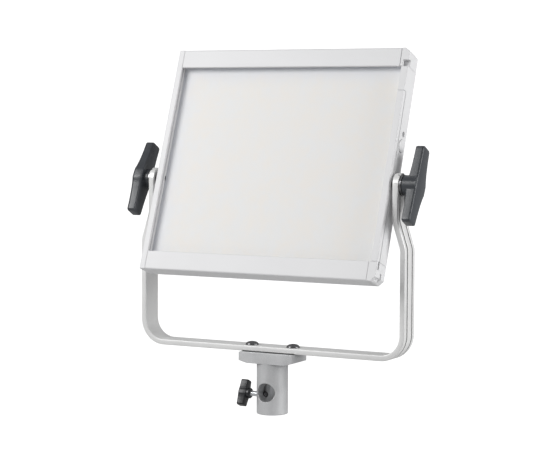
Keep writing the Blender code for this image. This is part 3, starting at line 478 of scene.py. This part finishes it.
def strap_section():
    """Strap cross-section as (outward, backward) points: soft corners and two outer grooves."""
    half_t, half_w = strap_thickness / 2, strap_width / 2
    inner, outer, lip = 0.0008, 0.0011, 0.00035
    groove_width, groove_depth, groove_offset = 0.0024, 0.0025, 0.0066
    points = arc((-half_t + inner, -half_w + inner), inner, 180, 270, 3)
    points += arc((half_t - outer, -half_w + outer), outer, -90, 0, 4)
    for middle in (-groove_offset, groove_offset):
        near, far = middle - groove_width / 2, middle + groove_width / 2
        floor = half_t - groove_depth
        points += arc((half_t - lip, near - lip), lip, 0, 90, 2)
        points += [(floor + lip, near)] + arc((floor + lip, near + lip), lip, 270, 180, 2)
        points += arc((floor + lip, far - lip), lip, 180, 90, 2)
        points += arc((half_t - lip, far + lip), lip, -90, 0, 2)
    points += arc((half_t - outer, half_w - outer), outer, 0, 90, 4)
    points += arc((-half_t + inner, half_w - inner), inner, 90, 180, 3)
    return points


def filleted(points, radii, steps):
    """A path through points with its corners rounded; one radius and step count for each corner."""
    path = [Vector(points[0])]
    for before, corner, after, radius, count in zip(points, points[1:], points[2:], radii, steps):
        before, corner, after = Vector(before), Vector(corner), Vector(after)
        to_before, to_after = (before - corner).normalized(), (after - corner).normalized()
        half = to_before.angle(to_after) / 2
        centre = corner + (to_before + to_after).normalized() * radius / math.sin(half)
        first = corner + to_before * radius / math.tan(half) - centre
        last = corner + to_after * radius / math.tan(half) - centre
        path += [centre + first.slerp(last, i / count) * radius for i in range(count + 1)]
    return path + [Vector(points[-1])]


def yoke_strap():
    """One bent strap with round drilled ears."""
    ear = strap_width / 2
    jog_high, jog_low, jog_bend, corner = 0.0396, 0.0716, 0.0200, 0.0300
    high_x, low_x = arm_outer - strap_thickness / 2, half_yoke - strap_thickness / 2
    side = [(high_x, tilt_axis.z + ear), (high_x, tilt_axis.z - jog_high), (low_x, tilt_axis.z - jog_low),
            (low_x, bar_low + strap_thickness / 2)]
    bend = corner - strap_thickness / 2
    path = filleted([(-x, z) for x, z in side] + side[::-1], (jog_bend, jog_bend, bend, bend, jog_bend, jog_bend),
                    (10, 10, 24, 24, 10, 10))
    rings = []
    for i, point in enumerate(path):
        along = path[min(i + 1, len(path) - 1)] - path[max(i - 1, 0)]
        outward = Vector((along.y, -along.x)).normalized()
        if 0 < i < len(path) - 1:
            outward /= math.cos((path[i + 1] - point).angle(point - path[i - 1]) / 2)
        rings.append([Vector((point.x + outward.x * o, tilt_axis.y + b, point.y + outward.y * o))
                      for o, b in strap_section()])
    over, hole_radius = 0.003, 0.0043
    centre = (tilt_axis.y, tilt_axis.z)
    cuts = [rod('X', centre, hole_radius, -half_yoke, half_yoke)]
    for sign in (-1, 1):
        outline = [(centre[0] + sign * u, centre[1] + v) for u, v in arc((0, 0), ear, 0, 90, 24)]
        outline += [(centre[0], centre[1] + ear + over), (centre[0] + sign * (ear + over), centre[1] + ear + over),
                    (centre[0] + sign * (ear + over), centre[1])]
        cuts.append(prism(outline, 'X', -half_yoke, half_yoke))
    piece("strap", carved(loft(rings), cuts), "anodised", "yoke", ["yoke_strap"], crease=40)


yoke_strap()

# ---------------------------------------------------------------- socket
plate_high = span("socket_casting")[1]
plate_top = plate_high.z
socket_radius = 0.01835
bore_radius = 0.0082
cross_hole_radius, cross_hole_height = 0.0112, 0.0263
clamp_spot = Vector(joints["clamp_turn"]["pos_m"])
screw_spread = 0.0270


def socket_casting():
    """Plate and tube in one casting, with its bores."""
    half_l, half_w = plate_high.x, plate_high.y
    end_thickness, mid_thickness, gusset_drop, shoulder_drop = 0.0098, 0.0126, 0.0155, 0.0036
    ramp, step, drop = socket_radius + 0.006, 0.004, 0.0012
    top = plate_top
    ends = [(half_l, top), (half_l, top - end_thickness), (half_l - step, top - end_thickness - drop),
            (ramp, top - mid_thickness)]
    outline = ends + [(-x, z) for x, z in ends[::-1]]
    rim, mouth, screw_hole, clamp_hole = 0.0012, 0.0010, 0.0033, 0.0032 + clear
    tube = [(rim - rim * math.cos(a), socket_radius - rim + rim * math.sin(a))
            for a in (math.radians(15 * i) for i in range(7))] + [(top - 0.0002, socket_radius)]
    over, depth = 0.004, 0.0560
    cuts = []
    for sign in (-1, 1):
        wedge = [(sign * half_w, top + over), (sign * half_w, top - shoulder_drop),
                 (sign * socket_radius, top - gusset_drop), (sign * (socket_radius + over), top - gusset_drop),
                 (sign * (socket_radius + over), top + over)]
        cuts.append(prism(wedge, 'X', -socket_radius - over, socket_radius + over))
        cuts.append(rod('Z', (sign * screw_spread, 0), screw_hole, top - mid_thickness - over, top + over))
    cuts.append(turned('Z', (0, 0), ((-over, bore_radius + mouth + over), (mouth, bore_radius),
                                     (depth, bore_radius))))
    cuts.append(rod('Y', (0, cross_hole_height), cross_hole_radius, -socket_radius - over, mouth, 72))
    cuts.append(rod('X', (0, clamp_spot.z), clamp_hole, -socket_radius - over, 0))
    shape = carved(prism(outline, 'Y', -half_w, half_w), cuts, [turned('Z', (0, 0), tube, 96)])
    piece("socket", shape, "cast", "yoke", ["socket_casting"], edge=0.0007, segments=3, angle=28, crease=25)


def bar_screw(name, x, node_name):
    """Button-head screw with a hexagon recess."""
    low, high = span(node_name)
    radius = (high.x - low.x) / 2
    seat = bar_high + clear
    height = high.z - seat
    dome = [(seat + height * math.sin(math.radians(a)), radius * math.cos(math.radians(a)) ** 0.85)
            for a in range(0, 73, 8)]
    shank_end, shank, hexagon_radius = 0.0027, 0.0030, 0.0026
    stations = [(low.z, shank_end), (seat, shank), (seat, radius - 0.0003)] + dome
    hexagon = [(x + u, v) for u, v in circle((0, 0), hexagon_radius, 6)]
    shape = carved(turned('Z', (x, 0), stations, 64), [prism(hexagon, 'Z', seat + height * 0.4, high.z + 0.002)])
    piece(name, shape, "dark_screw", "yoke", [node_name], edge=0.00018, segments=2)


socket_casting()
bar_screw("bar_screw_left", -screw_spread, "socket_screw_left")
bar_screw("bar_screw_right", screw_spread, "socket_screw_right")


# ---------------------------------------------------------------- winged handles
def wing_section(low, high, ahead, behind, edge, seam):
    """Outline of a wing as (outward, backward): soft corners and a thin seam near the outer face."""
    points = arc((low + edge, behind - edge), edge, 90, 180, 3)
    points += arc((low + edge, edge - ahead), edge, 180, 270, 3)
    line = high - edge
    for side, width, start in ((-1, ahead, 270), (1, behind, 0)):
        rim = [(line - 1.6 * seam, side * width), (line - 1.4 * seam, side * (width - seam * 0.8)),
               (line - 0.6 * seam, side * (width - seam * 0.8)), (line - 0.4 * seam, side * width)]
        corner = arc((line, side * (width - edge)), edge, start, start + 90, 3)
        points += rim + corner if side < 0 else corner + rim[::-1]
    return points


def winged_handle(name, finish, body, node_name, centre, lean, outward, length, end_width, bellies, wing, reach,
                  hub_radius, face_plate, bore, seam):
    """A two-winged handle on a round hub, on an X axis.

    outward is -1 or 1; bellies are how far it bulges ahead and behind.
    """
    half = length / 2
    inner_end = reach - wing
    tip = end_width * 0.17
    belly_share = ((0.0, 1.0), (0.12, 0.98), (0.24, 0.70), (0.42, 0.42), (0.68, 0.16), (0.92, 0.0), (1.0, 0.0))
    flare_share = ((0.0, 0.24), (0.12, 0.24), (0.24, 0.16), (0.42, 0.07), (0.68, 0.02), (0.92, 0.0), (1.0, 0.0))
    steps = 24
    places = [i / steps * (1 - tip / half) for i in range(steps + 1)]
    places += [1 - tip / half * (1 - math.sin(math.radians(a))) for a in (18, 36, 54, 72, 86)]
    edge = end_width * 0.07
    rings = []
    for along in [-p for p in places[:0:-1]] + places:
        far = max(0.0, abs(along) * half - (half - tip)) / tip
        pinch = tip * (1 - math.sqrt(max(0.0, 1 - far * far)))
        share, flare = blended(belly_share, abs(along)), blended(flare_share, abs(along))
        ahead, behind = (end_width / 2 + belly * share - pinch for belly in bellies)
        low, high = inner_end * (1 - flare) + pinch * 0.35, reach - pinch * 0.35
        rings.append([Vector((outward * x, outward * y * math.cos(lean) + along * half * math.sin(lean),
                              -outward * y * math.sin(lean) + along * half * math.cos(lean)))
                      for x, y in wing_section(low, high, ahead, behind, edge, seam)])
    soft = 0.0008
    hub = turned('X', (0, 0), ((0, hub_radius - soft), (outward * soft, hub_radius),
                               (outward * (reach - face_plate), hub_radius)), 72)
    hole = rod('X', (0, 0), bore, -outward * 0.001, outward * inner_end * 1.2)
    shape = carved(loft(rings), [hole], [hub])
    piece(name, shape, finish, body, [node_name], Matrix.Translation(centre), edge=0.0004, segments=2, angle=42,
          crease=32)


def tilt_lock(side, sign, lean):
    """Friction disc, washer, stud and handle on one side."""
    centre = (tilt_axis.y, tilt_axis.z)
    stud_radius, soft = 0.0040, 0.0007
    for label, finish, body in (("friction_disc_", "friction_fibre", "head"),
                                ("outer_washer_", "dark_screw", "washer_" + side)):
        low, high = span(label + side)
        ends = (low.x, high.x) if sign > 0 else (high.x, low.x)
        ring = washer('X', centre, (high.z - low.z) / 2, stud_radius + clear, *ends, edge=0.0003)
        piece(label + side + "_fine", ring, finish, body, [label + side])
    low, high = span("tilt_stud_" + side)
    ends = (low.x, high.x) if sign > 0 else (high.x, low.x)
    stud = turned('X', centre, ((ends[0], stud_radius - soft), (ends[0] + sign * soft, stud_radius),
                                (ends[1], stud_radius)), 48)
    piece("stud_" + side, stud, "bright_steel", "handle_" + side, ["tilt_stud_" + side])
    washer_low, washer_high = span("outer_washer_" + side)
    hub_face = washer_high.x + clear if sign > 0 else washer_low.x - clear
    winged_handle("handle_" + side, "handle_grey", "handle_" + side, "tilt_handle_" + side,
                  Vector((hub_face, tilt_axis.y, tilt_axis.z)), lean, sign,
                  length=0.0920, end_width=0.0175, bellies=(0, 0.0080), wing=0.0105, reach=0.0180,
                  hub_radius=0.0116, face_plate=0.0008, bore=stud_radius + clear, seam=0.0005)


tilt_lock("left", -1, math.radians(29))
tilt_lock("right", 1, math.radians(26))


# ---------------------------------------------------------------- socket clamp
def clamp_screw():
    """Pad, threaded bolt and small winged knob."""
    centre = (0, clamp_spot.z)
    low, high = span("clamp_pad")
    radius = (high.z - low.z) / 2
    soft, point, lead = 0.0004, 0.0006, 0.002
    piece("pad", turned('X', centre, ((low.x, radius), (high.x - soft, radius), (high.x, radius - soft)), 48),
          "dark_screw", "clamp_end", ["clamp_pad"])
    low, high = span("clamp_bolt")
    radius = (high.z - low.z) / 2
    pitch, thread = 0.00100, 0.00020
    stations = [(high.x, radius - point)]
    turns = int((high.x - low.x - lead) / pitch)
    for i in range(turns):
        root = high.x - point - i * pitch
        stations += [(root, radius - thread), (root - pitch * 0.15, radius - thread),
                     (root - pitch * 0.45, radius), (root - pitch * 0.65, radius)]
    stations.append((low.x, radius))
    piece("bolt", turned('X', centre, stations, 48), "bright_steel", "clamp_screw", ["clamp_bolt"], crease=50)
    winged_handle("small_knob", "gloss_black", "clamp_screw", "clamp_knob", clamp_spot, math.radians(24), -1,
                  length=0.0310, end_width=0.0100, bellies=(0.0018, 0.0018), wing=0.0088, reach=0.0138,
                  hub_radius=0.0062, face_plate=0.0060, bore=0.0035, seam=0.00015)


clamp_screw()


# ---------------------------------------------------------------- side button
def release_button():
    """Round button with a soft domed face."""
    low, high = span("side_button", head_place)
    radius = (high.z - low.z) / 2
    centre = ((low.y + high.y) / 2, (low.z + high.z) / 2)
    height = 0.0020
    dome = [(high.x - height * (1 - math.cos(math.radians(a))) * 0.9, radius * math.sin(math.radians(a)))
            for a in (85, 75, 62, 50, 36, 22, 10)]
    side = radius - 0.0002
    piece("round_button", turned('X', centre, [(low.x, side), (high.x - height, side)] + dome, 64), "white_paint",
          "release_button", ["side_button"], head_place, crease=40)


release_button()

# ---------------------------------------------------------------- rear housing and controls
housing_low, housing_high = span("rear_housing", head_place)
back_face = housing_high.y
panel_low, panel_high = span("control_panel", head_place)


def round_place(node_name):
    """Lowest and highest corner, middle (x, z) and radius of a round node that faces back."""
    low, high = span(node_name, head_place)
    return low, high, ((low.x + high.x) / 2, (low.z + high.z) / 2), (high.x - low.x) / 2


def rear_housing():
    """Tapered cup behind the frame, with vents, a panel window and screw holes."""
    front, back = housing_low.y, back_face
    rim = (housing_low.x, housing_low.z, housing_high.x, housing_high.z)
    inset_side, inset_top, inset_bottom, wall, corner = 0.0300, 0.0240, 0.0230, 0.0025, 0.0120
    rear = (rim[0] + inset_side, rim[1] + inset_bottom, rim[2] - inset_side, rim[3] - inset_top)
    bend, soft, step = front + 0.010, 0.003, 0.0015

    def section(y, box, inset):
        outline = rounded((box[0] + inset, box[1] + inset), (box[2] - inset, box[3] - inset),
                          corner - inset * 0.5, 10)
        return [Vector((x, y, z)) for x, z in outline]

    edge = [section(back - soft * (1 - math.sin(math.radians(a))), rear, soft * (1 - math.cos(math.radians(a))))
            for a in (0, 18, 36, 54, 72, 90)]
    outside = [section(front, rim, 0), section(bend - 0.002, rim, step * 0.75), section(bend, rim, step * 1.3)]
    outside += edge
    inside = [section(back - wall, rear, wall + soft), section(back - wall - soft, rear, wall),
              section(bend, rim, wall + step), section(front, rim, wall)]
    deep, out = back - wall - 0.001, back + 0.001
    shape = bmesh.new()
    for rings in (outside, inside):
        loops = [[shape.verts.new(point) for point in ring] for ring in rings]
        count = len(loops[0])
        for first, second in zip(loops, loops[1:]):
            for i in range(count):
                shape.faces.new((first[i], first[(i + 1) % count], second[(i + 1) % count], second[i]))
        if rings is outside:
            mouth = loops[0]
            shape.faces.new(loops[-1])
        else:
            shape.faces.new(loops[0])
            lip = loops[-1]
    for i in range(count):
        shape.faces.new((mouth[i], mouth[(i + 1) % count], lip[(i + 1) % count], lip[i]))
    bmesh.ops.recalc_face_normals(shape, faces=shape.faces)
    vent_count, vent_pitch, vent_width, vent_height, vent_middle = 17, 0.0120, 0.0060, 0.0900, 0.0720
    window_corner, screw_hole = 0.0053, 0.0020
    cuts = []
    for i in range(vent_count):
        middle = vent_pitch * (i - (vent_count - 1) / 2)
        slot = rounded((middle - vent_width / 2, vent_middle - vent_height / 2),
                       (middle + vent_width / 2, vent_middle + vent_height / 2), vent_width * 0.49, 6)
        cuts.append(prism(slot, 'Y', deep, out))
    window = rounded((panel_low.x - clear, panel_low.z - clear), (panel_high.x + clear, panel_high.z + clear),
                     window_corner, 6)
    cuts.append(prism(window, 'Y', deep, out))
    for number in range(1, 5):
        middle = round_place("rear_screw_%d" % number)[2]
        cuts.append(rod('Y', middle, screw_hole, deep, out))
    piece("housing", carved(shape, cuts), "white_housing", "head", ["rear_housing"], head_place, edge=0.0004,
          segments=2, angle=50)


def rear_screw(number):
    """Pan-head screw with a hexagon recess."""
    node_name = "rear_screw_%d" % number
    low, high, (x, z), radius = round_place(node_name)
    seat = back_face + clear
    height = high.y - seat
    dome = [(seat + height * math.sin(math.radians(a)), radius * (0.6 + 0.4 * math.cos(math.radians(a))))
            for a in (0, 20, 40, 60, 80, 90)]
    stations = [(low.y, 0.0015), (seat, 0.0017), (seat, radius - 0.0001)] + dome
    hexagon = [(x + u, z + v) for u, v in circle((0, 0), 0.0014, 6)]
    piece("pan_screw_%d" % number,
          carved(turned('Y', (x, z), stations, 48), [prism(hexagon, 'Y', seat + height * 0.3, high.y + 0.001)]),
          "dark_screw", "head", [node_name], head_place, edge=0.0001, segments=2)


def rotary_knob(node_name):
    """Fluted knob with a pointer groove."""
    low, high, (x, z), radius = round_place(node_name)
    body = node_name + "_body"
    foot, top = back_face + 0.0008, high.y
    flutes, ridge = 30, 0.0005
    outline = []
    for i in range(flutes * 4):
        turn = math.tau * i / (flutes * 4)
        fluted = radius - ridge * (1 + math.cos(turn * flutes)) / 2
        outline.append((fluted * math.cos(turn), fluted * math.sin(turn)))
    rounding = [(top - 0.0012 * (1 - math.sin(math.radians(a))), 0.94 - 0.08 * (1 - math.cos(math.radians(a))))
                for a in (0, 22, 45, 67, 90)]
    rings = [[Vector((x + u * s, y, z + v * s)) for u, v in outline]
             for y, s in [(foot, 0.965), (foot + 0.0005, 1.0)] + rounding]
    shaft = rod('Y', (x, z), 0.0030, low.y, foot + 0.002)
    mark = block((x - 0.0005, top - 0.0006, z + radius * 0.35), (x + 0.0005, top + 0.002, z + radius * 1.2))
    piece(node_name + "_cap", carved(loft(rings), [mark], [shaft]), "black_knob", body, [node_name], head_place,
          edge=0.00012, segments=2, angle=50)


def push_button(number):
    """Round button with a shallow finger dish."""
    node_name = "push_button_%d" % number
    low, high, (x, z), radius = round_place(node_name)
    edge, dip, top = 0.0005, 0.0003 * 1.3, high.y
    dish = [(top - dip * (1 - share ** 2), radius * share) for share in (0.82, 0.6, 0.35, 0.08)]
    stations = [(low.y, radius)] + soft_end(top, radius, edge) + dish
    piece("button_cap_%d" % number, turned('Y', (x, z), stations, 48), "black_knob",
          "button_%d" % number, [node_name], head_place, crease=50)


def round_connector(node_name, contacts):
    """Panel socket with a flange, a recessed face and holes for its contacts."""
    low, high, (x, z), flange = round_place(node_name)
    radius, face, flange_thickness, wall = flange - 0.0025, back_face, 0.0026, 0.0022
    stations = [(low.y, radius), (face + clear, radius), (face + clear, flange)]
    stations += soft_end(face + flange_thickness, flange, 0.0008)
    pitch = radius * 0.42
    spots = [(x + pitch * math.cos(math.tau * i / contacts + math.pi / 2),
              z + pitch * math.sin(math.tau * i / contacts + math.pi / 2)) for i in range(contacts)]
    cuts = [rod('Y', (x, z), radius - wall, face - 0.0040, face + 0.004, 64)]
    cuts += [rod('Y', spot, 0.0009, face - 0.0060, face - 0.0030, 24) for spot in spots]
    key = block((x - 0.0011, face - 0.0040, z - radius + 0.0012), (x + 0.0011, face + 0.004, z - radius * 0.5))
    piece(node_name + "_shell", carved(turned('Y', (x, z), stations, 72), cuts + [key]), "black_connector", "head",
          [node_name], head_place, edge=0.00015, segments=2)


def power_rocker():
    """Rocker cap with a hollow face and no marks."""
    low, high = span("power_rocker", head_place)
    local = head_place.inverted() @ Vector(joints["rocker_switch"]["pos_m"])
    half = (high.z - low.z) / 2
    crest, hollow = 0.0016, 0.0009
    front = [(crest - hollow * math.cos(math.pi * t / 2) ** 2, half * t) for t in (i / 10 for i in range(-10, 11))]
    outline = [(-0.0040, -half * 0.8), (-0.0005, -half)] + front + [(-0.0005, half), (-0.0040, half * 0.8)]
    outline = [(local.y + y, local.z + z) for y, z in outline]
    piece("rocker_cap", prism(outline, 'X', low.x, high.x), "black_knob", "rocker", ["power_rocker"], head_place,
          edge=0.0004, segments=2, angle=50)


rear_housing()
for number in range(1, 5):
    rear_screw(number)
    push_button(number)
for knob in ("dimmer_knob", "colour_knob", "menu_knob"):
    rotary_knob(knob)
round_connector("power_inlet", 3)
round_connector("data_in_socket", 5)
round_connector("data_out_socket", 5)
power_rocker()


# ---------------------------------------------------------------- floor and light
def paper_sweep():
    """Pale floor that curves up into a backdrop."""
    floor_z, depth, height, bend, half = -0.50, 3.0, 4.0, 1.2, 5.0
    outline = [(-4.0, floor_z)] + arc((depth - bend, floor_z + bend), bend, 270, 360, 24) + [(depth, height)]
    mesh = bpy.data.meshes.new("paper")
    points = [(x, y, z) for x in (-half, half) for y, z in outline]
    count = len(outline)
    mesh.from_pydata(points, [], [(i, i + 1, count + i + 1, count + i) for i in range(count - 1)])
    mesh.shade_smooth()
    paper = bpy.data.materials.new("pale_paper")
    paper.use_nodes = True
    shader = paper.node_tree.nodes["Principled BSDF"]
    shader.inputs["Base Color"].default_value = (0.40, 0.40, 0.40, 1)
    shader.inputs["Roughness"].default_value = 0.9
    shader.inputs["Emission Color"].default_value = (1, 1, 1, 1)
    seen = node(paper.node_tree, 'ShaderNodeLightPath').outputs["Is Camera Ray"]
    glow = remap(paper.node_tree, seen, 0.0, 1.0, 0.16, 0.95)
    paper.node_tree.links.new(glow, shader.inputs["Emission Strength"])
    mesh.materials.append(paper)
    floor = bpy.data.objects.new("paper_sweep", mesh)
    bpy.context.scene.collection.objects.link(floor)


def soft_box(name, spot, aim, size, watts):
    """A square soft light at a spot, turned to a point."""
    lamp = bpy.data.lights.new(name, 'AREA')
    lamp.shape = 'SQUARE'
    lamp.size = size
    lamp.energy = watts
    holder = bpy.data.objects.new(name, lamp)
    bpy.context.scene.collection.objects.link(holder)
    holder.location = spot
    holder.rotation_euler = (Vector(aim) - Vector(spot)).to_track_quat('-Z', 'Y').to_euler()


paper_sweep()
soft_box("key", (-1.5, -1.7, 1.5), (0, 0, 0.25), 1.4, 42)
soft_box("side", (2.3, 0.2, 0.9), (0.1, 0, 0.25), 1.2, 36)
world = bpy.data.worlds.new("studio")
world.use_nodes = True
world.node_tree.nodes["Background"].inputs["Color"].default_value = (1.0, 1.0, 1.0, 1)
world.node_tree.nodes["Background"].inputs["Strength"].default_value = 0.30
bpy.context.scene.world = world
bpy.context.scene.view_settings.view_transform = 'Standard'
